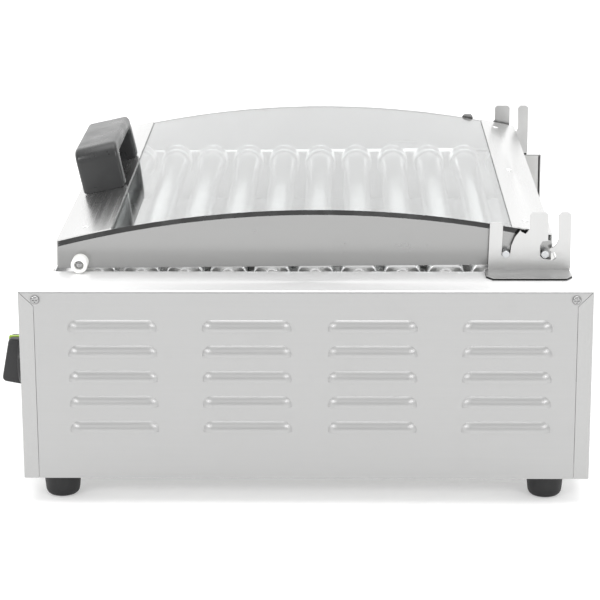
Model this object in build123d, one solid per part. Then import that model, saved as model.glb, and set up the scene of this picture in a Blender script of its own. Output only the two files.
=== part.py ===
from build123d import *
from math import cos, pi, radians, sin, sqrt
import os

# Hot dog roller grill: two louvred side housings, a low base between them, eleven heated
# rollers, a drip tray and a curved glass lid that pivots on two pins at the rear.
# Millimetres, +X to the operator's right, -Y to the front, +Z up, origin on the surface
# that it stands on, under the middle of the body.

# Body
body_width = 568.0
body_depth = 448.0
foot_height = 22.0
foot_radii = (13.2, 15.3)
foot_rounding = 5.0
body_height = 154.0
housing_width = 59.5
base_height = 96.0
sheet = 1.0
seam = 0.3
return_flange = 12.0
bend_radius = 2.0

body_x = body_width / 2
body_y = body_depth / 2
body_top = foot_height + body_height
base_top = foot_height + base_height
housing_x = body_x - housing_width

# Side louvres
louvre_length = 70.0
louvre_rise = 3.2
louvre_radius = 10.6
louvre_columns = (-150.8, -45.8, 52.6, 157.6)
louvre_row_pitch = 20.7
louvre_rows = 5
louvre_first_z = 62.2

# Rollers
roller_count = 11
roller_pitch = 35.0
first_roller_y = -168.0
roller_z = 169.8
tube_radius = 12.5
tube_wall = 1.0
tube_half_length = 215.0
journal_radius = 4.5
journal_end = 232.0
journal_bore = 3.0
press_gap = 0.02
heater_radius = 2.6
running_gap = 0.05
bearing_plate = 1.5
bush_radius = 8.0
shoulder_radius = 9.0
collar_radius = 14.8
collar_inner_radius = 12.9
collar_start = 195.0
collar_end = 217.0
collar_hub_radius = 6.5

# Drive
chain_pitch = 3.2
roller_teeth = 9
motor_teeth = 24
sprocket_x = 236.0
sprocket_width = 5.0
tooth_tip = 0.22
link_notch = 0.8
chain_inner_gap = 0.55
chain_thickness = 1.5
chain_clearance = 0.25
idler_y = -172.0
motor_y = 190.0
pin_radius = 3.0
motor_shaft_radius = 4.0

# Front controls
knob_xs = (200.0, 80.0)
knob_z = 95.0
knob_radius = 20.4
knob_projection = 26.5
lamp_xs = (168.0, 112.0)
lamp_z = 106.0
lamp_radius = 5.5
rocker_x = 140.0
rocker_z = 88.0
rocker_tilt = 8.0
rocker_pin_radius = 1.2

# Drip tray
tray_half_width = 212.0
tray_back_y = 205.0
tray_height = 13.0
tray_tab_half_width = 50.0
tray_tab_drop = 26.0

# Lid
lid_half_width = 219.6
lid_front_y = -199.5
lid_rear_y = 195.5
lid_crown_y = 9.0
lid_crown_z = 225.5
lid_radius = 850.0
lid_front_gap = 1.6
lid_rear_gap = 5.0
lid_plate = 1.2
lid_plate_x = 220.0
lid_ledge = 3.6
glass_thickness = 4.0
strip_thickness = 1.0
front_strip_rear_y = -156.3
rear_strip_front_y = 164.0
lip_gap = 2.0
hinge_y = 190.0
hinge_z = 191.2
pin_spacing = 31.0
pin_end = 229.4
bumper_radius = 6.6
bumper_y = -181.4

# Handle
handle_half_length = 65.8
handle_depth = 37.2
handle_height = 38.8
handle_leg = 15.0
handle_bar = 13.0
handle_y = -176.6

# Hinge brackets
bracket_plate = 2.0
bracket_x = 226.0
bracket_front_y = 145.0
bracket_rear_y = 210.5
bracket_ear_z = 225.0
bracket_post_z = 216.6
bracket_foot = 26.0


def block(x0, x1, y0, y1, z0, z1):
    """Box between two corners."""
    return Pos((x0 + x1) / 2, (y0 + y1) / 2, (z0 + z1) / 2) * Box(x1 - x0, y1 - y0, z1 - z0)


def rod_x(radius, x0, x1, y, z):
    """Cylinder along X."""
    return Pos((x0 + x1) / 2, y, z) * Rot(0, 90, 0) * Cylinder(radius, x1 - x0)


def rod_y(radius, x, y0, y1, z):
    """Cylinder along Y."""
    return Pos(x, (y0 + y1) / 2, z) * Rot(90, 0, 0) * Cylinder(radius, y1 - y0)


def rod_z(radius, x, y, z0, z1):
    """Cylinder along Z."""
    return Pos(x, y, (z0 + z1) / 2) * Cylinder(radius, z1 - z0)


def plate_yz(points, x0, thickness):
    """Flat plate in the YZ plane, from x0 towards +X."""
    outline = make_face(Plane.YZ.offset(x0) * Polyline(*points, close=True))
    return extrude(outline, thickness, dir=(1, 0, 0))


def plate_xz(points, y0, thickness):
    """Flat plate in the XZ plane, from y0 towards +Y."""
    plane = Plane((0, y0 + thickness, 0), x_dir=(1, 0, 0), z_dir=(0, -1, 0))
    return extrude(make_face(plane * Polyline(*points, close=True)), thickness, dir=(0, -1, 0))


def turned(points, y, z):
    """Solid of revolution about an X axis from (x, radius) points."""
    plane = Plane((0, y, z), x_dir=(1, 0, 0), z_dir=(0, -1, 0))
    profile = make_face(plane * Polyline(*points, close=True))
    return revolve(profile, Axis((0, y, z), (1, 0, 0)))


def other_side(shape):
    """Mirror image on the other end of the machine."""
    return mirror(shape, about=Plane.YZ)


def save(name, *solids):
    """Write one node as a STEP file."""
    node = solids[0] if len(solids) == 1 else Compound(children=list(solids))
    export_step(node, f"parts/{name}.step")


def roller_positions():
    return [first_roller_y + roller_pitch * i for i in range(roller_count)]


def pitch_radius(teeth):
    return chain_pitch / (2 * sin(pi / teeth))


def arc_z(y, offset=0.0):
    """Height of the lid's top curve at y, offset outwards along its radius."""
    centre_z = lid_crown_z - lid_radius
    return centre_z + sqrt((lid_radius + offset) ** 2 - (y - lid_crown_y) ** 2)


def arc_band(y0, y1, outer, inner, x0, x1):
    """Curved sheet of the lid between two offsets from its top curve."""
    middle = (y0 + y1) / 2
    top = ThreePointArc((y0, arc_z(y0, outer)), (middle, arc_z(middle, outer)), (y1, arc_z(y1, outer)))
    low = ThreePointArc((y1, arc_z(y1, inner)), (middle, arc_z(middle, inner)), (y0, arc_z(y0, inner)))
    plane = Plane.YZ.offset(x0)
    edges = [top, Line(top @ 1, low @ 0), low, Line(low @ 1, top @ 0)]
    return extrude(make_face([plane * edge for edge in edges]), x1 - x0, dir=(1, 0, 0))


# --- Body sheets -----------------------------------------------------------------

def louvre_capsule(radius, y, z):
    half = louvre_length / 2 - sqrt(louvre_radius ** 2 - (louvre_radius - louvre_rise) ** 2)
    x = body_x + louvre_rise - louvre_radius
    shape = rod_y(radius, x, y - half, y + half, z)
    return shape + Pos(x, y - half, z) * Sphere(radius) + Pos(x, y + half, z) * Sphere(radius)


def side_cover():
    edge_y = body_y - return_flange - seam
    mitre_z = body_top - return_flange - seam
    outline = [
        (-edge_y, foot_height),
        (edge_y, foot_height),
        (edge_y, mitre_z),
        (body_y, body_top),
        (-body_y, body_top),
        (-edge_y, mitre_z),
    ]
    cover = plate_yz(outline, body_x - sheet, sheet)
    cover += block(housing_x, body_x, -body_y, body_y, body_top - sheet, body_top)
    bend = cover.edges().filter_by(Axis.Y).sort_by(Axis.Z)[-2:].sort_by(Axis.X)[-1]
    cover = fillet(bend, bend_radius)
    for row in range(louvre_rows):
        z = louvre_first_z + louvre_row_pitch * row
        for y in louvre_columns:
            reach = (y - louvre_length, y + louvre_length, z - 1.5, z + louvre_radius)
            window = block(body_x - 2 * sheet, body_x + louvre_rise + 1, *reach)
            outside = block(body_x - sheet, body_x + louvre_rise + 1, *reach)
            hollow = louvre_capsule(louvre_radius - sheet, y, z) & window
            cover = cover + (louvre_capsule(louvre_radius, y, z) & outside) - hollow
    for y in (-210.5, 210.5):
        cover -= rod_x(2.2, body_x - 2 * sheet, body_x + 1, y, 169.0)
    return cover


def end_panel(y0):
    """Front panel: a U-shaped sheet with mitred side flanges, from y0 towards +Y."""
    top = body_top - sheet - 0.1
    step = housing_x + 0.1
    outline = [
        (-body_x, foot_height),
        (body_x, foot_height),
        (body_x, top),
        (step, top),
        (step, base_top),
        (-step, base_top),
        (-step, top),
        (-body_x, top),
    ]
    panel = plate_xz(outline, y0, sheet)
    inner_y = y0 + return_flange
    flange = [
        (y0, foot_height),
        (inner_y, foot_height),
        (inner_y, body_top - return_flange - 1.5 * seam),
        (y0 + body_top - top - 1.5 * seam, top),
        (y0, top),
    ]
    side = plate_yz(flange, body_x - sheet, sheet)
    panel += side + other_side(side)
    corners = panel.edges().filter_by(Axis.Z).filter_by(lambda e: abs(e.center().Y - y0) < 0.01)
    corners = corners.filter_by(lambda e: abs(abs(e.center().X) - body_x) < 0.01)
    panel = fillet(corners, bend_radius)
    tab = block(body_x - 2 * sheet - 0.2, body_x - sheet - 0.2, y0 + sheet, y0 + 20, 158, top)
    tab -= rod_x(1.6, body_x - 5, body_x, y0 + 13.5, 169.0)
    bridge = block(body_x - 2 * sheet - 0.2, body_x - sheet, y0 + sheet, y0 + 3, 158, 163)
    return panel + tab + other_side(tab) + bridge + other_side(bridge)


def front_panel():
    panel = end_panel(-body_y)
    y0, y1 = -body_y - 1, -body_y + 2
    for x in knob_xs:
        panel -= rod_y(4.0, x, y0, y1, knob_z)
    for x in lamp_xs:
        panel -= rod_y(lamp_radius - 1, x, y0, y1, lamp_z)
    return panel - block(rocker_x - 9.2, rocker_x + 9.2, y0, y1, rocker_z - 13.2, rocker_z + 13.2)


def rear_panel():
    panel = mirror(end_panel(-body_y), about=Plane.XZ)
    for i in range(12):
        x = -110 + 20 * i
        panel -= block(x - 2, x + 2, body_y - 2, body_y + 1, 60, 95)
    return panel - rod_y(8.1, -200, body_y - 2, body_y + 1, 60)


def base_plate():
    x = body_x - sheet - 0.2
    y = body_y - sheet - 0.2
    tray = block(-x, x, -y, y, foot_height, foot_height + 12)
    tray -= block(-x + sheet, x - sheet, -y + sheet, y - sheet, foot_height + sheet, foot_height + 13)
    for i in range(9):
        slot_x = -160 + 40 * i
        tray -= block(slot_x - 4, slot_x + 4, -60, 60, foot_height - 1, foot_height + 2)
    return tray


def bay_floor():
    x = housing_x - bearing_plate + 1.3
    y = body_y - sheet - 0.1
    floor = block(-x, x, -y, y, base_top - sheet, base_top)
    lip = block(-x, x, -y, -y + sheet, base_top - 5, base_top)
    return floor + lip + mirror(lip, about=Plane.XZ)


def bearing_plate_right():
    y = body_y - 2 * sheet - 0.5
    top = body_top - sheet - 0.1
    plate = block(housing_x, housing_x + bearing_plate, -y, y, foot_height + sheet + 0.2, top)
    for roller_y in roller_positions():
        slot_radius = bush_radius + 0.1
        plate -= rod_x(slot_radius, housing_x - 1, housing_x + 3, roller_y, roller_z)
        plate -= block(housing_x - 1, housing_x + 3, roller_y - slot_radius, roller_y + slot_radius,
            roller_z, top + 1)
    plate -= rod_x(pin_radius + running_gap, housing_x - 1, housing_x + 3, idler_y, drive_z())
    plate -= block(housing_x - 1, housing_x + 3, -30, 30, 50, 75)
    return plate


def rubber_feet():
    feet = []
    for x in (-body_x + 27, body_x - 27):
        for y in (-196.5, 191.5):
            foot = Pos(x, y, foot_height / 2) * Cone(foot_radii[0], foot_radii[1], foot_height)
            foot = fillet(foot.edges().sort_by(Axis.Z)[0], foot_rounding)
            feet.append(foot - rod_z(4, x, y, -1, 6))
    return feet


# --- Rollers and drive -------------------------------------------------------------

def drive_z():
    """Height of the motor and idler sprockets, with the chain just under the roller sprockets."""
    roller_tip = pitch_radius(roller_teeth) + tooth_tip
    chain_outer = pitch_radius(motor_teeth) + chain_inner_gap + chain_thickness
    return roller_z - roller_tip - chain_clearance - chain_outer


def roller(y):
    """Tube closed by a bored disc at each end, with a hollow journal pressed into each disc."""
    plug = tube_half_length - 6
    inner = tube_radius - tube_wall
    points = [
        (-tube_half_length, journal_radius),
        (-tube_half_length, tube_radius),
        (tube_half_length, tube_radius),
        (tube_half_length, journal_radius),
        (plug, journal_radius),
        (plug, inner),
        (-plug, inner),
        (-plug, journal_radius),
    ]
    tube = turned(points, y, roller_z)
    outer = journal_radius - press_gap
    drive_end = rod_x(outer, plug, journal_end, y, roller_z)
    drive_end -= rod_x(journal_bore, plug + 1, journal_end + 1, y, roller_z)
    heater_end = rod_x(outer, -journal_end, -plug, y, roller_z)
    heater_end -= rod_x(journal_bore, -journal_end - 1, -plug + 1, y, roller_z)
    return [tube, drive_end, heater_end]


def toothed_disc(teeth, y, z, phase):
    radius = pitch_radius(teeth)
    disc = rod_x(radius + tooth_tip, sprocket_x, sprocket_x + sprocket_width, y, z)
    for i in range(teeth):
        angle = phase + 2 * pi * i / teeth
        notch_y = y + radius * sin(angle)
        notch_z = z + radius * cos(angle)
        disc -= rod_x(link_notch, sprocket_x - 1, sprocket_x + sprocket_width + 1, notch_y, notch_z)
    return disc


def roller_sprocket(y):
    disc = toothed_disc(roller_teeth, y, roller_z, 0)
    return disc + rod_x(journal_bore - running_gap, tube_half_length + 4, sprocket_x, y, roller_z)


def bush(y):
    top = body_top - sheet - 0.2
    faces = housing_x, housing_x + bearing_plate
    shape = rod_x(bush_radius, faces[0] - 0.1, faces[1] + 0.1, y, roller_z)
    shape += rod_x(shoulder_radius, faces[0] - 3.2, faces[0] - 0.1, y, roller_z)
    shape += rod_x(shoulder_radius, faces[1] + 0.1, faces[1] + 4, y, roller_z)
    shape += block(faces[0] - 0.1, faces[1] + 0.1, y - bush_radius, y + bush_radius, roller_z, top)
    shape -= block(faces[0] - 5, faces[1] + 6, y - 12, y + 12, top, top + 10)
    return shape - rod_x(journal_radius + running_gap, faces[0] - 5, faces[1] + 6, y, roller_z)


def end_collar(y):
    hub_end = housing_x - 3.2
    bore = journal_radius + 0.4
    points = [
        (collar_start, collar_inner_radius),
        (collar_start, collar_radius - 0.6),
        (collar_start + 0.6, collar_radius),
        (collar_end, collar_radius),
        (collar_end, collar_hub_radius),
        (hub_end, collar_hub_radius),
        (hub_end, bore),
        (collar_end - 1.2, bore),
        (collar_end - 1.2, collar_inner_radius),
    ]
    return turned(points, y, roller_z)


def heating_rod(y):
    rod = rod_x(heater_radius, -journal_end - 18, plug_end(), y, roller_z)
    return rod + rod_x(4.5, -journal_end - 30, -journal_end - 18, y, roller_z)


def plug_end():
    return tube_half_length - 12


def drive_chain():
    inner = pitch_radius(motor_teeth) + chain_inner_gap
    loops = []
    for radius in (inner, inner + chain_thickness):
        plane = Plane.YZ.offset(sprocket_x + 0.5)
        span = motor_y - idler_y
        slot = SlotCenterToCenter(span, 2 * radius)
        face = plane * Pos((idler_y + motor_y) / 2, drive_z()) * slot
        loops.append(extrude(face, sprocket_width - 1))
    return loops[1] - loops[0]


def motor_sprocket():
    disc = toothed_disc(motor_teeth, motor_y, drive_z(), 0)
    return disc + rod_x(motor_shaft_radius, sprocket_x - 3, 256, motor_y, drive_z())


def gear_motor():
    body = block(246, 264, motor_y - 28, motor_y + 28, 96, body_top - sheet - 4)
    body = fillet(body.edges().filter_by(Axis.X), 6)
    body += rod_x(22, 264, body_x - sheet - 1.5, motor_y, 122)
    for y, z in ((motor_y - 22, 103), (motor_y + 22, 103), (motor_y + 23.5, 162)):
        body += rod_x(3, housing_x + bearing_plate, 246, y, z)
    return body - rod_x(motor_shaft_radius + running_gap, 245, 257, motor_y, drive_z())


def idler_sprocket():
    disc = toothed_disc(motor_teeth, idler_y, drive_z(), 0)
    return disc - rod_x(pin_radius + running_gap, sprocket_x - 1, sprocket_x + 6, idler_y, drive_z())


def idler_pin():
    y, z = idler_y, drive_z()
    pin = rod_x(pin_radius, housing_x, sprocket_x + sprocket_width + 0.4, y, z)
    pin += rod_x(5, sprocket_x + sprocket_width + 0.4, sprocket_x + sprocket_width + 2.4, y, z)
    return pin + rod_x(5, housing_x + bearing_plate, sprocket_x - 0.4, y, z)


# --- Controls ------------------------------------------------------------------------

def thermostat_knob(x):
    front = -body_y
    face = front - knob_projection
    skirt = rod_y(knob_radius, x, front - 9, front - 1, knob_z)
    bar = block(x - 8, x + 8, face, front - 9, knob_z - knob_radius + 0.3, knob_z + knob_radius - 0.3)
    bar &= rod_y(knob_radius, x, face, front - 9, knob_z)
    slope = Plane((x, face - 0.2, knob_z - knob_radius + 6), x_dir=(1, 0, 0), z_dir=(0,
        -cos(radians(11)), sin(radians(11))))
    bar = split(bar, slope, keep=Keep.BOTTOM)
    spindle = rod_y(pin_radius, x, front - 1, front + 14, knob_z)
    return skirt + bar + spindle


def thermostat(x):
    body = rod_y(17, x, -body_y + sheet + 0.2, -body_y + 30, knob_z)
    body += block(x - 22, x + 22, -body_y + 30, -body_y + 42, knob_z - 20, knob_z + 20)
    return body - rod_y(pin_radius + running_gap, x, -body_y, -body_y + 16, knob_z)


def rocker_housing():
    front = -body_y
    frame = block(-11, 11, front - 2, front, -15, 15)
    frame += block(-9, 9, front, front + 20, -13, 13)
    frame -= block(-7.5, 7.5, front - 3, front + 12, -11.5, 11.5)
    frame -= rod_x(rocker_pin_radius + running_gap, -8.5, 8.5, front, 0)
    return Pos(rocker_x, 0, rocker_z) * frame


def power_rocker():
    """Rocker key with its two faces sloped either side of its pivot."""
    front = -body_y
    points = [(front - 0.6, -10.8), (front - 3.6, 0), (front - 0.6, 10.8), (front + 3.5, 9.0),
        (front + 3.5, -9.0)]
    key = plate_yz(points, -7.2, 14.4) + rod_x(rocker_pin_radius, -8.3, 8.3, front, 0)
    return Pos(rocker_x, 0, rocker_z) * rocker_rest(key)


def rocker_rest(shape):
    pivot = Axis((0, -body_y, 0), (1, 0, 0))
    return shape.rotate(pivot, -rocker_tilt)


def indicator_lamp(x):
    front = -body_y
    lens = rod_y(lamp_radius, x, front - 3, front, lamp_z)
    lens = fillet(lens.edges().sort_by(Axis.Y)[0], 1.5)
    return lens + rod_y(lamp_radius - 1.2, x, front, front + 18, lamp_z)


def cable_gland():
    y = body_y
    nut = Plane((-200, y, 60), x_dir=(1, 0, 0), z_dir=(0, 1, 0)) * RegularPolygon(12, 6)
    gland = extrude(nut, 7)
    gland += Pos(-200, y + 7 + (knob_projection - 7) / 2, 60) * Rot(-90, 0, 0) * Cone(10.5, 7.5,
        knob_projection - 7)
    gland += rod_y(8, -200, y - 14, y, 60)
    return gland - rod_y(3.6, -200, y - 15, y + knob_projection + 1, 60)


# --- Drip tray -------------------------------------------------------------------------

def drip_tray():
    z0 = base_top + 0.4
    x = tray_half_width
    y0 = -body_y
    tray = block(-x, x, y0, tray_back_y, z0, z0 + tray_height)
    tray -= block(-x + sheet, x - sheet, y0 + sheet, tray_back_y - sheet, z0 + sheet, z0 + tray_height + 1)
    w = tray_tab_half_width
    tab = block(-w, w, y0 - 1.6, y0 - 0.6, z0 + tray_height - tray_tab_drop, z0 + tray_height)
    tab += block(-w, w, y0 - 1.6, y0 + sheet, z0 + tray_height - sheet, z0 + tray_height)
    return tray + tab


# --- Lid ----------------------------------------------------------------------------------

def lid_plate_right():
    under = -glass_thickness - 0.1
    z_front = body_top + lid_front_gap
    z_rear = body_top + lid_rear_gap
    arc = ThreePointArc(
        (lid_rear_y, arc_z(lid_rear_y, under)),
        (lid_crown_y, arc_z(lid_crown_y, under)),
        (lid_front_y, arc_z(lid_front_y, under)),
    )
    lines = [
        Line((lid_front_y, arc_z(lid_front_y, under)), (lid_front_y, z_front)),
        Line((lid_front_y, z_front), (lid_rear_y, z_rear)),
        Line((lid_rear_y, z_rear), (lid_rear_y, arc_z(lid_rear_y, under))),
    ]
    plane = Plane.YZ.offset(lid_plate_x - lid_plate)
    plate = extrude(make_face([plane * edge for edge in [arc] + lines]), lid_plate, dir=(1, 0, 0))
    ledge_x = (lid_plate_x - lid_plate - lid_ledge, lid_plate_x - lid_plate)
    ledge = arc_band(lid_front_y + 2, lid_rear_y - 2, under, under - lid_plate, *ledge_x)
    return plate + ledge


def lid_glass():
    return arc_band(lid_front_y + 1.2, lid_rear_y - 1.2, 0, -glass_thickness, -lid_half_width, lid_half_width)


def lid_front_strip():
    top, low = strip_thickness + 0.05, 0.05
    strip = arc_band(lid_front_y - 1, front_strip_rear_y, top, low, -lid_half_width, lid_half_width)
    z1 = arc_z(lid_front_y - 0.5, low + 0.5)
    z0 = body_top + lid_front_gap + lip_gap
    return strip + block(-lid_half_width, lid_half_width, lid_front_y - 1, lid_front_y, z0, z1)


def lid_rear_strip():
    top, low = strip_thickness + 0.05, 0.05
    strip = arc_band(rear_strip_front_y, lid_rear_y + 1, top, low, -lid_half_width, lid_half_width)
    z1 = arc_z(lid_rear_y + 0.5, low + 0.5)
    return strip + block(-lid_half_width, lid_half_width, lid_rear_y, lid_rear_y + 1, hinge_z - 1, z1)


def on_strip(shape, x, y):
    """Place a shape that is modelled upright at the origin on the lid's curve."""
    z = arc_z(y, strip_thickness + 0.06)
    slope = (y - lid_crown_y) / lid_radius * 180 / pi
    return Pos(x, y, z) * Rot(-slope, 0, 0) * shape


def lid_handle():
    w, d, h = handle_half_length, handle_depth / 2, handle_height
    outer = block(-w, w, -d, d, 0, h)
    outer = fillet(outer.edges().filter_by(Axis.Y).group_by(Axis.Z)[-1], 12)
    outer = fillet(outer.edges().filter_by(Axis.Z), 3)
    finger_gap = block(-w + handle_leg, w - handle_leg, -d - 1, d + 1, -1, h - handle_bar)
    finger_gap = fillet(finger_gap.edges().filter_by(Axis.Y).group_by(Axis.Z)[-1], 8)
    grip = outer - finger_gap
    for side in (-1, 1):
        recess_x = side * (w - 1.0)
        recess = block(min(recess_x, recess_x + side * 3), max(recess_x, recess_x + side * 3), -d + 5,
            d - 5, 6, h - 9)
        grip -= recess
    return on_strip(grip, 0, handle_y)


def lid_pins():
    pins = []
    for y in (hinge_y - pin_spacing, hinge_y):
        pin = rod_x(pin_radius, lid_plate_x, pin_end, y, hinge_z)
        pin = fillet(pin.edges().sort_by(Axis.X)[-1], 0.6)
        pins += [pin, other_side(pin)]
    return pins


def bumper():
    z = body_top + bumper_radius + seam
    shape = rod_x(bumper_radius, lid_plate_x, lid_plate_x + 13, bumper_y, z)
    shape = fillet(shape.edges().sort_by(Axis.X)[-1], 0.8)
    cup = rod_x(3.6, lid_plate_x + 9, lid_plate_x + 14, bumper_y, z)
    return shape - cup - rod_x(1.6, lid_plate_x - 1, lid_plate_x + 14, bumper_y, z)


def bumper_screw():
    z = body_top + bumper_radius + seam
    return rod_x(3.2, lid_plate_x + 9, lid_plate_x + 11, bumper_y, z) + rod_x(1.5, lid_plate_x,
        lid_plate_x + 9, bumper_y, z)


def lid_rivets():
    head = Pos(0, 0, 0.35) * Cylinder(2.8, 0.7)
    front = [on_strip(head, x, -179.0) for x in (-195, 195)]
    rear = [on_strip(head, x, 176.5) for x in (-191, 0, 191)]
    return front + rear


# --- Hinge brackets -------------------------------------------------------------------------

def hinge_bracket():
    """Upright plate with an arc slot for the guide pin and a hooked seat for the hinge pin."""
    z0 = body_top
    outline = [
        (bracket_front_y, z0),
        (bracket_rear_y - 1, z0),
        (bracket_rear_y, z0 + 4),
        (bracket_rear_y, bracket_ear_z - 2),
        (bracket_rear_y - 2.5, bracket_ear_z),
        (202.8, bracket_ear_z),
        (200.4, bracket_ear_z - 2.5),
        (200.8, 202.6),
        (199.4, 199.2),
        (197.2, 196.8),
        (193.6, 195.2),
        (193.8, 193.9),
        (197.6, 192.2),
        (199.3, 189.6),
        (199.0, 187.6),
        (196.4, 185.6),
        (188.4, 187.2),
        (186.4, 189.2),
        (186.0, 198.0),
        (188.0, 201.4),
        (192.4, 201.8),
        (192.4, bracket_ear_z - 2),
        (190.4, bracket_ear_z),
        (180.0, bracket_ear_z),
        (178.0, bracket_ear_z - 2),
        (178.0, 211.0),
        (174.4, 207.4),
        (171.2, 208.9),
    ]
    slot_inner = pin_spacing - pin_radius - 0.5
    slot_outer = pin_spacing + pin_radius + 0.4
    for degrees in (46, 32, 16, 2):
        angle = radians(degrees - 2)
        outline.append((hinge_y - slot_inner * cos(angle), hinge_z + slot_inner * sin(angle)))
    seat_z = hinge_z - pin_radius - 0.4
    outline += [
        (hinge_y - pin_spacing + 2.6, seat_z + 1.0),
        (hinge_y - pin_spacing + 1.2, seat_z),
        (hinge_y - pin_spacing - 1.2, seat_z),
        (hinge_y - slot_outer, seat_z + 2.2),
        (hinge_y - slot_outer + 0.8, bracket_post_z - 3),
        (hinge_y - slot_outer - 1.0, bracket_post_z),
        (bracket_front_y + 3, bracket_post_z),
        (bracket_front_y + 1, bracket_post_z - 2),
    ]
    plate = plate_yz(outline, bracket_x - bracket_plate, bracket_plate)
    x1 = bracket_x + bracket_foot
    y0, y1 = bracket_front_y - 2.5, bracket_rear_y
    foot_outline = Polyline(
        (bracket_x - bracket_plate, y0 + 2.5),
        (bracket_x, y0),
        (x1 - 8, y0),
        (x1, y0 + 5),
        (x1, y1 - 5),
        (x1 - 8, y1),
        (bracket_x - bracket_plate, y1 - 1),
        close=True,
    )
    foot = extrude(Plane.XY.offset(body_top) * make_face(foot_outline), bracket_plate)
    return plate + foot


def cover_screw(y):
    x = body_x
    head = rod_x(3.6, x, x + 2.2, y, 169.0)
    head = fillet(head.edges().sort_by(Axis.X)[-1], 1.6)
    for turn in (0, 90):
        cross = Pos(x + 2.2, y, 169.0) * Rot(turn, 0, 0) * Box(2.2, 0.9, 4.2)
        head -= cross
    return head + rod_x(1.5, x - 6, x, y, 169.0)


os.makedirs("parts", exist_ok=True)

cover = side_cover()
save("side_cover_right", cover)
save("side_cover_left", other_side(cover))
save("front_panel", front_panel())
save("rear_panel", rear_panel())
save("base_plate", base_plate())
save("bay_floor", bay_floor())
inner_wall = bearing_plate_right()
save("bearing_plate_right", inner_wall)
save("bearing_plate_left", other_side(inner_wall))
save("rubber_feet", *rubber_feet())

for number, y in enumerate(roller_positions(), start=1):
    save(f"roller_{number:02d}", *roller(y))
    save(f"roller_sprocket_{number:02d}", roller_sprocket(y))
bushes = [bush(y) for y in roller_positions()]
save("roller_bushes", *bushes, *[other_side(b) for b in bushes])
collars = [end_collar(y) for y in roller_positions()]
save("end_collars", *collars, *[other_side(c) for c in collars])
save("heating_rods", *[heating_rod(y) for y in roller_positions()])
save("drive_chain", drive_chain())
save("gear_motor", gear_motor())
save("motor_sprocket", motor_sprocket())
save("idler_sprocket", idler_sprocket())
save("idler_pin", idler_pin())

save("thermostat_knob_right", thermostat_knob(knob_xs[0]))
save("thermostat_knob_left", thermostat_knob(knob_xs[1]))
save("thermostats", *[thermostat(x) for x in knob_xs])
save("rocker_housing", rocker_housing())
save("power_rocker", power_rocker())
save("indicator_lamps", *[indicator_lamp(x) for x in lamp_xs])
save("cable_gland", cable_gland())
save("drip_tray", drip_tray())

side = lid_plate_right()
save("lid_plate_right", side)
save("lid_plate_left", other_side(side))
save("lid_glass", lid_glass())
save("lid_front_strip", lid_front_strip())
save("lid_rear_strip", lid_rear_strip())
save("lid_handle", lid_handle())
save("lid_pins", *lid_pins())
rest = bumper()
save("lid_bumpers", rest, other_side(rest))
screw = bumper_screw()
save("bumper_screws", screw, other_side(screw))
save("lid_rivets", *lid_rivets())

bracket = hinge_bracket()
save("hinge_bracket_right", bracket)
save("hinge_bracket_left", other_side(bracket))
corner_screws = [cover_screw(-210.5), cover_screw(210.5)]
save("cover_screws", *corner_screws, *[other_side(s) for s in corner_screws])
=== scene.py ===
import bmesh
import bpy
import math
from mathutils import Matrix, Vector


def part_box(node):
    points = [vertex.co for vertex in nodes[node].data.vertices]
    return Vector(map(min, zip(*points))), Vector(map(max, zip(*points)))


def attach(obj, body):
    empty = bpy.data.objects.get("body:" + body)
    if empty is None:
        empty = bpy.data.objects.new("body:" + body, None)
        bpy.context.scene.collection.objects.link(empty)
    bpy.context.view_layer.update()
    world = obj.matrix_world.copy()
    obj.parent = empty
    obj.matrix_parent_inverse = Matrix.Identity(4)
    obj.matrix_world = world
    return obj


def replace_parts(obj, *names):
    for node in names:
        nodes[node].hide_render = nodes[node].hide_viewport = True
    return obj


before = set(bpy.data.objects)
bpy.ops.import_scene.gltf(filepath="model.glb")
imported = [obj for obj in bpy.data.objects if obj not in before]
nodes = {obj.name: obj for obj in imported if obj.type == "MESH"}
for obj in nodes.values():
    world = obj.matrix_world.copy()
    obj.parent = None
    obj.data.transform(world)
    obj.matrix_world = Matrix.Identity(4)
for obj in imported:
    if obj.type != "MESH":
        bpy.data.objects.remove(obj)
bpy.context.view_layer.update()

MM = 0.001

# Arc of the lid's steel strips in the YZ plane, and the places of its rivets and the feet, in millimetres.
LID_RADIUS = 851.06
LID_CROWN_Y = 9
LID_CENTRE_Z = -624.5
RIVETS = ((-195, -179), (195, -179), (-191, 176.5), (0, 176.5), (191, 176.5))
FOOT_X = (-257, 257)
FOOT_Y = (-196.5, 191.5)
TUBE_HALF = 215


# --- Materials ---------------------------------------------------------------------------

def material(name):
    """Empty node material with its output and principled shader."""
    mat = bpy.data.materials.new(name)
    mat.use_nodes = True
    tree = mat.node_tree
    tree.nodes.clear()
    out = tree.nodes.new("ShaderNodeOutputMaterial")
    shader = tree.nodes.new("ShaderNodeBsdfPrincipled")
    tree.links.new(shader.outputs["BSDF"], out.inputs["Surface"])
    return mat, tree, shader


def stretched(tree, scale):
    """Object coordinates scaled unevenly, for grain that runs along one axis."""
    coords = tree.nodes.new("ShaderNodeTexCoord")
    mapping = tree.nodes.new("ShaderNodeMapping")
    mapping.inputs["Scale"].default_value = scale
    tree.links.new(coords.outputs["Object"], mapping.inputs["Vector"])
    return mapping.outputs["Vector"]


def noise(tree, vector, scale, detail=4.0, rough=0.6):
    """Noise value along a coordinate vector."""
    node = tree.nodes.new("ShaderNodeTexNoise")
    node.inputs["Scale"].default_value = scale
    node.inputs["Detail"].default_value = detail
    node.inputs["Roughness"].default_value = rough
    tree.links.new(vector, node.inputs["Vector"])
    return node.outputs["Fac"]


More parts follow.
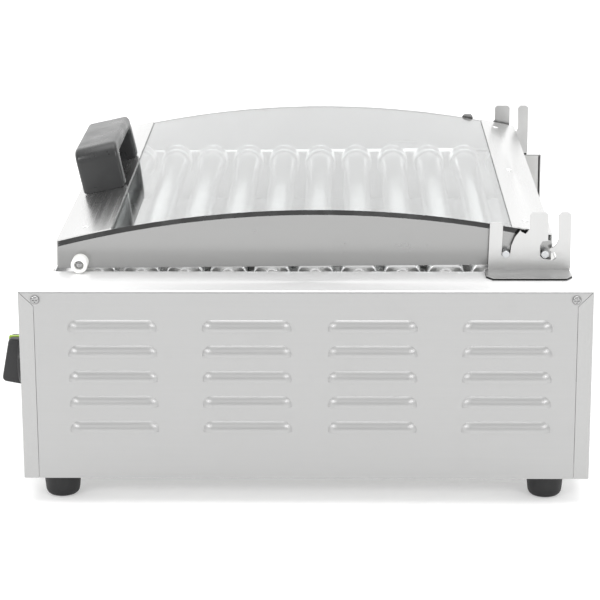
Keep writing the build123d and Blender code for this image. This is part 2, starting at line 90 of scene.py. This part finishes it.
def remap(tree, value, low, high, start=0.3, stop=0.7):
    """Value taken from start..stop to low..high, clamped."""
    node = tree.nodes.new("ShaderNodeMapRange")
    node.inputs["From Min"].default_value = start
    node.inputs["From Max"].default_value = stop
    node.inputs["To Min"].default_value = low
    node.inputs["To Max"].default_value = high
    tree.links.new(value, node.inputs["Value"])
    return node.outputs["Result"]


def mixed(tree, factor, first, second):
    """Colour between two colours or colour sockets."""
    node = tree.nodes.new("ShaderNodeMix")
    node.data_type = "RGBA"
    tree.links.new(factor, node.inputs["Factor"])
    for socket, value in ((node.inputs["A"], first), (node.inputs["B"], second)):
        if hasattr(value, "type"):
            tree.links.new(value, socket)
        else:
            socket.default_value = (*value, 1.0)
    return node.outputs["Result"]


def bump(tree, shader, height, distance, strength=1.0):
    """Height value pressed into the surface as a bump."""
    node = tree.nodes.new("ShaderNodeBump")
    node.inputs["Strength"].default_value = strength
    node.inputs["Distance"].default_value = distance
    tree.links.new(height, node.inputs["Height"])
    tree.links.new(node.outputs["Normal"], shader.inputs["Normal"])


def facing(tree, axis, start=0.6, stop=0.9):
    """1 on faces that look along a world axis (either way for X), 0 elsewhere."""
    geometry = tree.nodes.new("ShaderNodeNewGeometry")
    split = tree.nodes.new("ShaderNodeSeparateXYZ")
    tree.links.new(geometry.outputs["Normal"], split.inputs["Vector"])
    value = split.outputs[axis]
    if axis == "X":
        size = tree.nodes.new("ShaderNodeMath")
        size.operation = "ABSOLUTE"
        tree.links.new(value, size.inputs[0])
        value = size.outputs["Value"]
    return remap(tree, value, 0.0, 1.0, start, stop)


def steel(name, grain, tone, rough=0.32, spread=0.08, metallic=1.0, grain_depth=0.000003,
          top=None, painted_shade_below=None):
    """Brushed stainless: grain lines along one axis, faint blotches and a few smears.

    top is a painted light colour for faces that look up, which are also made less metallic; it stands in
    for the overhead light on the sheet's top. Below the given height the edge is painted dark as shade.
    """
    mat, tree, shader = material(name)
    fine = noise(tree, stretched(tree, grain), 1.0, 6.0, 0.7)
    blotch = noise(tree, stretched(tree, (6, 6, 6)), 1.0, 3.0)
    smear = noise(tree, stretched(tree, (14, 20, 26)), 1.0, 5.0, 0.7)
    shader.inputs["Metallic"].default_value = metallic
    dark = tuple(c * 0.975 for c in tone)
    light = tuple(min(1.0, c * 1.02) for c in tone)
    colour = mixed(tree, remap(tree, fine, 0.0, 1.0), dark, light)
    colour = mixed(tree, remap(tree, blotch, 0.0, 0.35, 0.45, 0.75), colour, tone)
    # painted light: up-facing faces take the lighter top colour and less metal, standing in for the
    # overhead light falling on the top of the same sheet
    if top:
        up = facing(tree, "Z")
        colour = mixed(tree, up, colour, top)
        tree.links.new(remap(tree, up, metallic, 0.55, 0.0, 1.0), shader.inputs["Metallic"])
    # painted shade: below the given height the colour goes near-black, standing in for the shadow and dark
    # reflection along the bracket flange's edge
    if painted_shade_below:
        split = tree.nodes.new("ShaderNodeSeparateXYZ")
        tree.links.new(stretched(tree, (1, 1, 1)), split.inputs["Vector"])
        low = remap(tree, split.outputs["Z"], 1.0, 0.0, painted_shade_below - 0.0003, painted_shade_below)
        colour = mixed(tree, low, colour, (0.03, 0.03, 0.03))
    tree.links.new(colour, shader.inputs["Base Color"])
    base_rough = remap(tree, fine, rough - spread, rough + spread)
    add_node = tree.nodes.new("ShaderNodeMath")
    add_node.operation = "ADD"
    tree.links.new(base_rough, add_node.inputs[0])
    tree.links.new(remap(tree, smear, 0.0, 0.05, 0.55, 0.75), add_node.inputs[1])
    tree.links.new(add_node.outputs["Value"], shader.inputs["Roughness"])
    shader.inputs["Anisotropic"].default_value = 0.5
    bump(tree, shader, fine, grain_depth)
    return mat


def plastic(name, tone, rough, grain_scale=900.0, depth=0.00004, speck=0.25):
    """Moulded plastic or rubber with a fine spark-eroded texture and rubbed patches."""
    mat, tree, shader = material(name)
    vector = stretched(tree, (1, 1, 1))
    fine = noise(tree, vector, grain_scale, 3.0, 0.6)
    rub = noise(tree, vector, 35.0, 4.0, 0.6)
    light = tuple(min(1.0, c * (1 + speck) + 0.004) for c in tone)
    tree.links.new(mixed(tree, remap(tree, rub, 0.0, 1.0), tone, light), shader.inputs["Base Color"])
    tree.links.new(remap(tree, rub, rough - 0.06, rough + 0.08), shader.inputs["Roughness"])
    bump(tree, shader, fine, depth)
    return mat


def glass():
    """Clear glass with faint smudges; its ground edges, which face along X, are dark and streaked."""
    mat, tree, shader = material("clear_glass")
    smudge = noise(tree, stretched(tree, (9, 14, 9)), 1.0, 5.0, 0.65)
    shader.inputs["Base Color"].default_value = (0.88, 0.905, 0.90, 1.0)
    shader.inputs["Transmission Weight"].default_value = 1.0
    shader.inputs["IOR"].default_value = 1.5
    tree.links.new(remap(tree, smudge, 0.0, 0.05, 0.5, 0.8), shader.inputs["Roughness"])
    edge = facing(tree, "X")
    streak = remap(tree, noise(tree, stretched(tree, (1, 60, 60)), 1.0, 5.0, 0.7), 0.0, 1.0, 0.45, 0.7)
    ground = mixed(tree, streak, (0.006, 0.006, 0.006), (0.030, 0.031, 0.031))
    tree.links.new(mixed(tree, edge, (0.80, 0.82, 0.817), ground), shader.inputs["Base Color"])
    tree.links.new(remap(tree, edge, 1.0, 0.0, 0.0, 1.0), shader.inputs["Transmission Weight"])
    return mat


M = {
    "side_sheet": steel(
        # top: painted light on the cover's up-facing cheek; the same sheet is drawn near-white where the
        # overhead light falls
        "side_sheet", (260, 5, 260), (0.44, 0.44, 0.438), 0.43, 0.03, top=(0.88, 0.88, 0.88),
    ),
    "cross_sheet": steel("cross_sheet", (5, 260, 260), (0.43, 0.43, 0.427), 0.33, 0.03),
    "lid_sheet": steel("lid_sheet", (260, 5, 260), (0.32, 0.32, 0.317), 0.24, 0.03),
    "far_sheet": steel("far_sheet", (260, 5, 260), (0.34, 0.34, 0.337), 0.30, 0.03),
    "strip_sheet": steel("strip_sheet", (5, 260, 260), (0.56, 0.56, 0.556), 0.26, 0.03),
    "bracket_sheet": steel(
        "bracket_sheet", (120, 120, 6), (0.57, 0.57, 0.566),
        # painted shade along the bracket flange's lower edge, below this height
        0.34, 0.01, 1.0, 0.000001, painted_shade_below=0.1778,
    ),
    "tray_sheet": steel("tray_sheet", (5, 260, 260), (0.72, 0.72, 0.72), 0.22, 0.03),
    "inner_sheet": steel("inner_sheet", (260, 5, 260), (0.62, 0.62, 0.61), 0.34, 0.03),
    "chrome": steel("chrome", (5, 500, 500), (0.80, 0.80, 0.80), 0.22, 0.03),
    "collar": steel("collar", (5, 500, 500), (0.88, 0.88, 0.88), 0.30, 0.03),
    "bright": steel("bright", (300, 300, 300), (0.78, 0.78, 0.78), 0.16, 0.04),
    "screw": steel("screw", (300, 300, 300), (0.36, 0.36, 0.36), 0.22, 0.04),
    "dark_steel": steel("dark_steel", (260, 260, 260), (0.24, 0.24, 0.25), 0.42, 0.10),
    "zinc": steel("zinc", (120, 120, 120), (0.60, 0.61, 0.62), 0.40, 0.12),
    "motor_paint": plastic("motor_paint", (0.045, 0.048, 0.055), 0.42, 500.0),
    "ptfe": plastic("ptfe", (0.86, 0.86, 0.84), 0.36, 400.0, 0.00002, 0.05),
    "rubber": plastic("rubber", (0.006, 0.006, 0.0065), 0.55, 700.0),
    "black": plastic("black", (0.010, 0.010, 0.011), 0.34, 1100.0),
    "grey": plastic("grey", (0.022, 0.0225, 0.023), 0.30, 1300.0, 0.00003),
    "lime": plastic("lime", (0.28, 0.42, 0.04), 0.40),
    "red": plastic("red", (0.50, 0.02, 0.015), 0.22, 300.0, 0.00001),
    "amber": plastic("amber", (0.85, 0.30, 0.02), 0.15, 200.0, 0.00001),
    "glass": glass(),
}


def paint(name, key):
    """Put one material on every slot of a kept CAD node."""
    node = nodes[name]
    if not node.data.materials:
        node.data.materials.append(M[key])
    for index in range(len(node.data.materials)):
        node.data.materials[index] = M[key]


def soften(name, width=0.35 * MM):
    """Small rounded edges on a kept CAD node."""
    mod = nodes[name].modifiers.new("edge", "BEVEL")
    mod.width = width
    mod.segments = 2
    mod.limit_method = "ANGLE"
    mod.angle_limit = math.radians(40)
    mod.harden_normals = True


# --- Mesh helpers ------------------------------------------------------------------------

def piece(name, verts, faces, body, mats, smooth=True, face_mats=None):
    """New mesh piece that rides on a body."""
    mesh = bpy.data.meshes.new(name)
    mesh.from_pydata(verts, [], faces)
    for mat in mats:
        mesh.materials.append(M[mat])
    if face_mats:
        mesh.polygons.foreach_set("material_index", face_mats)
    mesh.polygons.foreach_set("use_smooth", [smooth] * len(mesh.polygons))
    mesh.update()
    obj = bpy.data.objects.new(name, mesh)
    bpy.context.scene.collection.objects.link(obj)
    if smooth:
        bm = bmesh.new()
        bm.from_mesh(mesh)
        bmesh.ops.recalc_face_normals(bm, faces=bm.faces)
        for edge in bm.edges:
            if len(edge.link_faces) == 2 and edge.calc_face_angle() > math.radians(38):
                edge.smooth = False
        bm.to_mesh(mesh)
        bm.free()
    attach(obj, body)
    return obj


def lathe(profile, matrix, segments=64):
    """Verts and faces of a closed solid turned about local Z from (radius, height) points."""
    verts, faces, rings = [], [], []
    for radius, height in profile:
        if radius < 1e-7:
            verts.append(matrix @ Vector((0, 0, height)))
            rings.append([len(verts) - 1] * segments)
            continue
        start = len(verts)
        for i in range(segments):
            angle = 2 * math.pi * i / segments
            verts.append(matrix @ Vector((radius * math.cos(angle), radius * math.sin(angle), height)))
        rings.append(list(range(start, start + segments)))
    for low, high in zip(rings, rings[1:]):
        for i in range(segments):
            j = (i + 1) % segments
            face = []
            for index in (low[i], low[j], high[j], high[i]):
                if index not in face:
                    face.append(index)
            if len(face) > 2:
                faces.append(face)
    return verts, faces


def merge(parts):
    """One vertex and face list from several."""
    verts, faces = [], []
    for part_verts, part_faces in parts:
        start = len(verts)
        verts += part_verts
        faces += [[i + start for i in face] for face in part_faces]
    return verts, faces


def along(axis, origin):
    """Matrix that takes local Z to an axis at an origin."""
    turn = Vector(axis).to_track_quat("Z", "Y").to_matrix().to_4x4()
    return Matrix.Translation(origin) @ turn


def rounded(profile, corners):
    """Profile of (radius, height) points with the listed corners rounded: {index: radius}."""
    out = []
    for i, point in enumerate(profile):
        if i not in corners:
            out.append(point)
            continue
        here, before, after = (Vector(profile[k]) for k in (i, i - 1, i + 1))
        back, ahead = (before - here).normalized(), (after - here).normalized()
        for step in range(6):
            t = step / 5
            start, end = here + back * corners[i], here + ahead * corners[i]
            bend = start * (1 - t) ** 2 + here * 2 * t * (1 - t) + end * t ** 2
            out.append((bend.x, bend.y))
    return out


def arch(points, corners):
    """Closed outline in 2D with rounded corners."""
    ring = [points[-1]] + points + [points[0]]
    return rounded(ring, {i + 1: r for i, r in corners.items()})[1:-1]


def inset(outline, distance):
    """Counter-clockwise outline moved inwards by a distance."""
    moved = []
    for i, point in enumerate(outline):
        here = Vector(point)
        before = (here - Vector(outline[i - 1])).normalized()
        after = (Vector(outline[(i + 1) % len(outline)]) - here).normalized()
        normals = [Vector((-edge.y, edge.x)) for edge in (before, after)]
        bisector = (normals[0] + normals[1]).normalized()
        moved.append(here + bisector * distance / max(0.5, bisector.dot(normals[0])))
    return moved


def slab(outline, low, high, place, bevel, segments=4):
    """Outline extruded between two depths with rounded rims; place maps (u, v, depth) to the row frame."""
    area = sum(a[0] * b[1] - b[0] * a[1] for a, b in zip(outline, outline[1:] + outline[:1]))
    if area < 0:
        outline = outline[::-1]
    layers = []
    for step in range(segments + 1):
        angle = math.pi / 2 * step / segments
        layers.append((bevel * (1 - math.sin(angle)), bevel * (1 - math.cos(angle))))
    rings = [(inward, low + deep) for inward, deep in layers]
    rings += [(inward, high - deep) for inward, deep in reversed(layers)]
    verts, faces, count = [], [], len(outline)
    for inward, depth in rings:
        verts += [place(p[0], p[1], depth) for p in inset(outline, inward)]
    for ring in range(len(rings) - 1):
        for i in range(count):
            j = (i + 1) % count
            first, second = ring * count, (ring + 1) * count
            faces.append([first + i, first + j, second + j, second + i])
    faces.append(list(range(count))[::-1])
    faces.append([(len(rings) - 1) * count + i for i in range(count)])
    return verts, faces


# --- Kept CAD nodes ----------------------------------------------------------------------

KEPT = {
    "side_sheet": ("side_cover_right", "side_cover_left"),
    "cross_sheet": ("front_panel", "rear_panel"),
    "inner_sheet": ("base_plate", "bay_floor", "bearing_plate_right", "bearing_plate_left"),
    "tray_sheet": ("drip_tray",),
    "bracket_sheet": ("hinge_bracket_right", "hinge_bracket_left"),
    "lid_sheet": ("lid_plate_right",),
    "far_sheet": ("lid_plate_left",),
    "strip_sheet": ("lid_front_strip", "lid_rear_strip"),
    "glass": ("lid_glass",),
    "bright": ("idler_pin",),
    "screw": ("cover_screws",),
    "dark_steel": ("drive_chain", "motor_sprocket", "idler_sprocket"),
    "ptfe": ("roller_bushes",),
    "zinc": ("heating_rods", "thermostats", "lid_pins"),
    "motor_paint": ("gear_motor",),
    "black": ("rocker_housing", "cable_gland"),
    "red": ("power_rocker",),
    "amber": ("indicator_lamps",),
}
for key, names in KEPT.items():
    for name in names:
        paint(name, key)
for i in range(1, 12):
    paint(f"roller_sprocket_{i:02d}", "dark_steel")
for name in ("hinge_bracket_right", "hinge_bracket_left"):
    soften(name, 0.4 * MM)
for name in ("drip_tray", "rocker_housing", "power_rocker", "gear_motor", "cable_gland"):
    soften(name, 0.3 * MM)


# --- Rollers -----------------------------------------------------------------------------

def middle(node):
    low, high = (Vector(corner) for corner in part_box(node))
    return (low + high) / 2


for i in range(1, 12):
    node = f"roller_{i:02d}"
    low, high = (Vector(corner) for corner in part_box(node))
    axis = along((1, 0, 0), Vector((0, (low.y + high.y) / 2, (low.z + high.z) / 2)))
    radius, reach, tube = (high.z - low.z) / 2, high.x, TUBE_HALF * MM
    half = [
        (0.0, -tube + 7 * MM),
        (3.0 * MM, -tube + 7 * MM),
        (3.0 * MM, -reach),
        (4.5 * MM, -reach),
        (4.5 * MM, -tube + 2.5 * MM),
        (radius - 2.4 * MM, -tube + 2.5 * MM),
        (radius - 1.2 * MM, -tube),
        (radius, -tube),
    ]
    whole = half + [(r, -h) for r, h in reversed(half)]
    profile = rounded(whole, {6: 0.6 * MM, 7: 0.9 * MM, 8: 0.9 * MM, 9: 0.6 * MM})
    verts, faces = lathe(profile, axis, 96)
    tube_piece = piece(f"tube_{i:02d}", verts, faces, f"roller_{i:02d}_unit", ["chrome"])
    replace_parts(tube_piece, node)

low, high = (Vector(corner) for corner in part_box("end_collars"))
collar_radius = (high.z - low.z) / 2
axis_z = (high.z + low.z) / 2
collar_parts = []
for i in range(1, 12):
    y = middle(f"roller_{i:02d}").y
    for side in (-1, 1):
        profile = rounded([
            (4.9 * MM, 221.3 * MM),
            (6.5 * MM, 221.3 * MM),
            (6.5 * MM, 217.0 * MM),
            (collar_radius, 217.0 * MM),
            (collar_radius, 213.4 * MM),
            (collar_radius - 0.5 * MM, 213.0 * MM),
            (collar_radius - 0.5 * MM, 211.8 * MM),
            (collar_radius, 211.4 * MM),
            (collar_radius, 195.0 * MM),
            (12.9 * MM, 195.0 * MM),
            (12.9 * MM, 215.8 * MM),
            (4.9 * MM, 215.8 * MM),
            (4.9 * MM, 221.3 * MM),
        ], {3: 1.6 * MM, 8: 0.8 * MM})
        collar_parts.append(lathe(profile, along((side, 0, 0), Vector((0, y, axis_z))), 72))
verts, faces = merge(collar_parts)
collars = piece("collars", verts, faces, "base", ["collar"])
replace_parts(collars, "end_collars")


# --- Handle, knobs, feet and small parts -------------------------------------------------

def handle():
    """Moulded bridge that leans with the strip: thick rounded bar and two legs."""
    low, high = (Vector(corner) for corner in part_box("lid_handle"))
    half, tall, depth, lean = high.x, 38.8 * MM, 18.6 * MM, math.radians(12.5)
    base = Vector((0, -176.6 * MM, 206.15 * MM))

    def place(u, v, w):
        y = w * math.cos(lean) - v * math.sin(lean)
        return base + Vector((u, y, w * math.sin(lean) + v * math.cos(lean)))

    leg, bar = 13.0 * MM, 11.5 * MM
    outline = [(-half, 0), (-half + 0.8 * MM, tall), (half - 0.8 * MM, tall), (half, 0)]
    outline += [(half - leg, 0), (half - leg, tall - bar), (leg - half, tall - bar), (leg - half, 0)]
    outline = arch(outline, {1: 12 * MM, 2: 12 * MM, 5: 9 * MM, 6: 9 * MM})
    verts, faces = slab(outline, -depth, depth, place, 3.4 * MM, 5)
    grip = piece("handle_grip", verts, faces, "lid", ["grey"])
    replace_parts(grip, "lid_handle")


def knob(node, body):
    """Control knob: ribbed skirt, sloped grip bar with soft edges and a coloured pointer along its top."""
    low, high = (Vector(corner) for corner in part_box(node))
    x, z = (low.x + high.x) / 2, (low.z + high.z) / 2
    radius, face = (high.z - low.z) / 2, low.y
    skirt = rounded([
        (0, 225.0 * MM),
        (radius, 225.0 * MM),
        (radius, 232.0 * MM),
        (radius - 1.0 * MM, 235.5 * MM),
        (0, 236.0 * MM),
    ], {1: 0.6 * MM, 2: 1.2 * MM, 3: 1.0 * MM})
    skirt_part = lathe(skirt, along((0, -1, 0), Vector((x, 0, z))), 90)
    verts = []
    for v in skirt_part[0]:
        angle = math.atan2(v.z - z, v.x - x)
        away = math.hypot(v.z - z, v.x - x)
        rib = 0.35 * MM * max(0.0, math.cos(30 * angle)) if away > radius - 0.4 * MM else 0.0
        scale = 1 - rib / away if away > 0 else 1
        verts.append(Vector((x + (v.x - x) * scale, v.y, z + (v.z - z) * scale)))
    skirt_part = (verts, skirt_part[1])
    side = [
        (-233.0 * MM, radius - 1.0 * MM),
        (-243.6 * MM, radius - 0.6 * MM),
        (face, -radius + 4.0 * MM),
        (-233.0 * MM, -radius + 0.8 * MM),
    ]
    side = arch(side, {1: 3.5 * MM, 2: 4.5 * MM})
    grip = slab(side, -8 * MM, 8 * MM, lambda u, v, w: Vector((x + w, u, z + v)), 1.5 * MM, 4)
    rod = [(0, 210 * MM), (3.0 * MM, 210 * MM), (3.0 * MM, 226 * MM), (0, 226 * MM)]
    spindle = lathe(rod, along((0, -1, 0), Vector((x, 0, z))), 40)
    verts, faces = merge([skirt_part, grip, spindle])
    body_faces = len(faces)
    mark = [
        (-226.0 * MM, radius - 0.2 * MM),
        (-243.9 * MM, radius - 0.2 * MM),
        (-244.6 * MM, radius - 3.2 * MM),
        (-226.0 * MM, radius - 3.2 * MM),
    ]
    pointer = slab(mark, -1.7 * MM, 1.7 * MM, lambda u, v, w: Vector((x + w, u, z + v)), 0.3 * MM, 2)
    verts, faces = merge([(verts, faces), pointer])
    slots = [0] * body_faces + [1] * (len(faces) - body_faces)
    name = node.replace("thermostat_", "turned_")
    obj = piece(name, verts, faces, body, ["black", "lime"], True, slots)
    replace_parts(obj, node)


def feet():
    parts = []
    for x in FOOT_X:
        for y in FOOT_Y:
            profile = rounded([
                (0, 6.0 * MM),
                (4.0 * MM, 6.0 * MM),
                (4.0 * MM, 0),
                (13.2 * MM, 0),
                (15.3 * MM, 22 * MM),
                (0, 22 * MM),
            ], {2: 0.6 * MM, 3: 5.5 * MM, 4: 0.4 * MM})
            parts.append(lathe(profile, Matrix.Translation((x * MM, y * MM, 0)), 72))
    verts, faces = merge(parts)
    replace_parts(piece("feet", verts, faces, "base", ["rubber"]), "rubber_feet")


def small_parts():
    """Domed rivet heads, moulded bumpers and the heads of their screws."""
    rivets = []
    for x, y in RIVETS:
        z = LID_CENTRE_Z + math.sqrt(LID_RADIUS ** 2 - (y - LID_CROWN_Y) ** 2)
        up = Vector((0, (y - LID_CROWN_Y) / LID_RADIUS, 1))
        profile = rounded([
            (0, -0.2 * MM),
            (2.8 * MM, -0.2 * MM),
            (2.8 * MM, 0.35 * MM),
            (1.2 * MM, 1.0 * MM),
            (0, 1.05 * MM),
        ], {2: 0.3 * MM, 3: 0.8 * MM})
        rivets.append(lathe(profile, along(up, Vector((x * MM, y * MM, z * MM))), 32))
    verts, faces = merge(rivets)
    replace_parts(piece("rivet_heads", verts, faces, "lid", ["bright"]), "lid_rivets")

    low, high = (Vector(corner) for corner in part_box("lid_bumpers"))
    y, z, radius = (low.y + high.y) / 2, (low.z + high.z) / 2, (high.z - low.z) / 2
    bumpers, screws = [], []
    for side in (-1, 1):
        turn = along((side, 0, 0), Vector((0, y, z)))
        profile = rounded([
            (1.6 * MM, 220.0 * MM),
            (radius, 220.0 * MM),
            (radius, high.x),
            (3.8 * MM, high.x),
            (3.6 * MM, 229.0 * MM),
            (1.6 * MM, 229.0 * MM),
            (1.6 * MM, 220.0 * MM),
        ], {2: 1.6 * MM, 3: 0.4 * MM})
        bumpers.append(lathe(profile, turn, 56))
        head = rounded([
            (0, 220.5 * MM),
            (1.5 * MM, 220.5 * MM),
            (1.5 * MM, 229.1 * MM),
            (3.2 * MM, 229.1 * MM),
            (3.2 * MM, 230.2 * MM),
            (0, 231.4 * MM),
        ], {4: 0.5 * MM})
        screws.append(lathe(head, turn, 40))
    verts, faces = merge(bumpers)
    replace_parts(piece("bumpers", verts, faces, "lid", ["ptfe"]), "lid_bumpers")
    verts, faces = merge(screws)
    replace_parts(piece("bumper_screw_heads", verts, faces, "lid", ["screw"]), "bumper_screws")


handle()
knob("thermostat_knob_right", "knob_right")
knob("thermostat_knob_left", "knob_left")
feet()
small_parts()


# --- Studio ------------------------------------------------------------------------------

def studio():
    verts = [(-6, -6, 0), (6, -6, 0), (6, 6, 0), (-6, 6, 0)]
    mesh = bpy.data.meshes.new("floor")
    mesh.from_pydata(verts, [], [(0, 1, 2, 3)])
    floor = bpy.data.objects.new("floor", mesh)
    bpy.context.scene.collection.objects.link(floor)
    mat, tree, shader = material("floor_paper")
    shader.inputs["Base Color"].default_value = (0.74, 0.74, 0.74, 1)
    shader.inputs["Roughness"].default_value = 0.9
    shader.inputs["Emission Color"].default_value = (1, 1, 1, 1)
    shader.inputs["Emission Strength"].default_value = 0.32
    mesh.materials.append(mat)

    world = bpy.data.worlds.new("studio")
    world.use_nodes = True
    sky = world.node_tree
    coords = sky.nodes.new("ShaderNodeTexCoord")
    split = sky.nodes.new("ShaderNodeSeparateXYZ")
    sky.links.new(coords.outputs["Generated"], split.inputs["Vector"])
    behind = remap(sky, split.outputs["X"], 1.45, 0.75, -0.8, 0.8)
    sky.nodes["Background"].inputs["Color"].default_value = (1, 1, 1, 1)
    sky.links.new(behind, sky.nodes["Background"].inputs["Strength"])
    bpy.context.scene.world = world

    def area(name, place, target, size, power):
        light = bpy.data.lights.new(name, "AREA")
        light.shape = "RECTANGLE"
        light.size, light.size_y = size
        light.energy = power
        obj = bpy.data.objects.new(name, light)
        obj.location = place
        obj.rotation_euler = (Vector(target) - Vector(place)).to_track_quat("-Z", "Y").to_euler()
        bpy.context.scene.collection.objects.link(obj)

    area("overhead", (0.3, 0.0, 2.6), (0, 0, 0), (2.4, 2.4), 36)
    area("front_fill", (2.4, -1.8, 1.3), (0, 0, 0.1), (0.5, 0.5), 16)
    area("rear_fill", (2.4, 1.8, 1.3), (0, 0, 0.1), (0.5, 0.5), 16)


def camera():
    place = Vector((2.0177, 0.0299, 0.6529))
    yaw, pitch, roll = (math.radians(a) for a in (-1.121, 15.594, -0.246))
    ahead = Vector((-math.cos(yaw) * math.cos(pitch), math.sin(yaw) * math.cos(pitch), -math.sin(pitch)))
    right = Vector((math.sin(yaw), math.cos(yaw), 0))
    up = right.cross(ahead)
    side = math.cos(roll) * right + math.sin(roll) * up
    top = -math.sin(roll) * right + math.cos(roll) * up
    data = bpy.data.cameras.new("camera")
    data.sensor_width = 36
    data.lens = 139.1
    obj = bpy.data.objects.new("camera", data)
    basis = Matrix((side, top, -ahead)).transposed().to_4x4()
    obj.matrix_world = Matrix.Translation(place) @ basis
    bpy.context.scene.collection.objects.link(obj)
    bpy.context.scene.camera = obj


studio()
camera()
scene = bpy.context.scene
scene.view_settings.view_transform = "Standard"
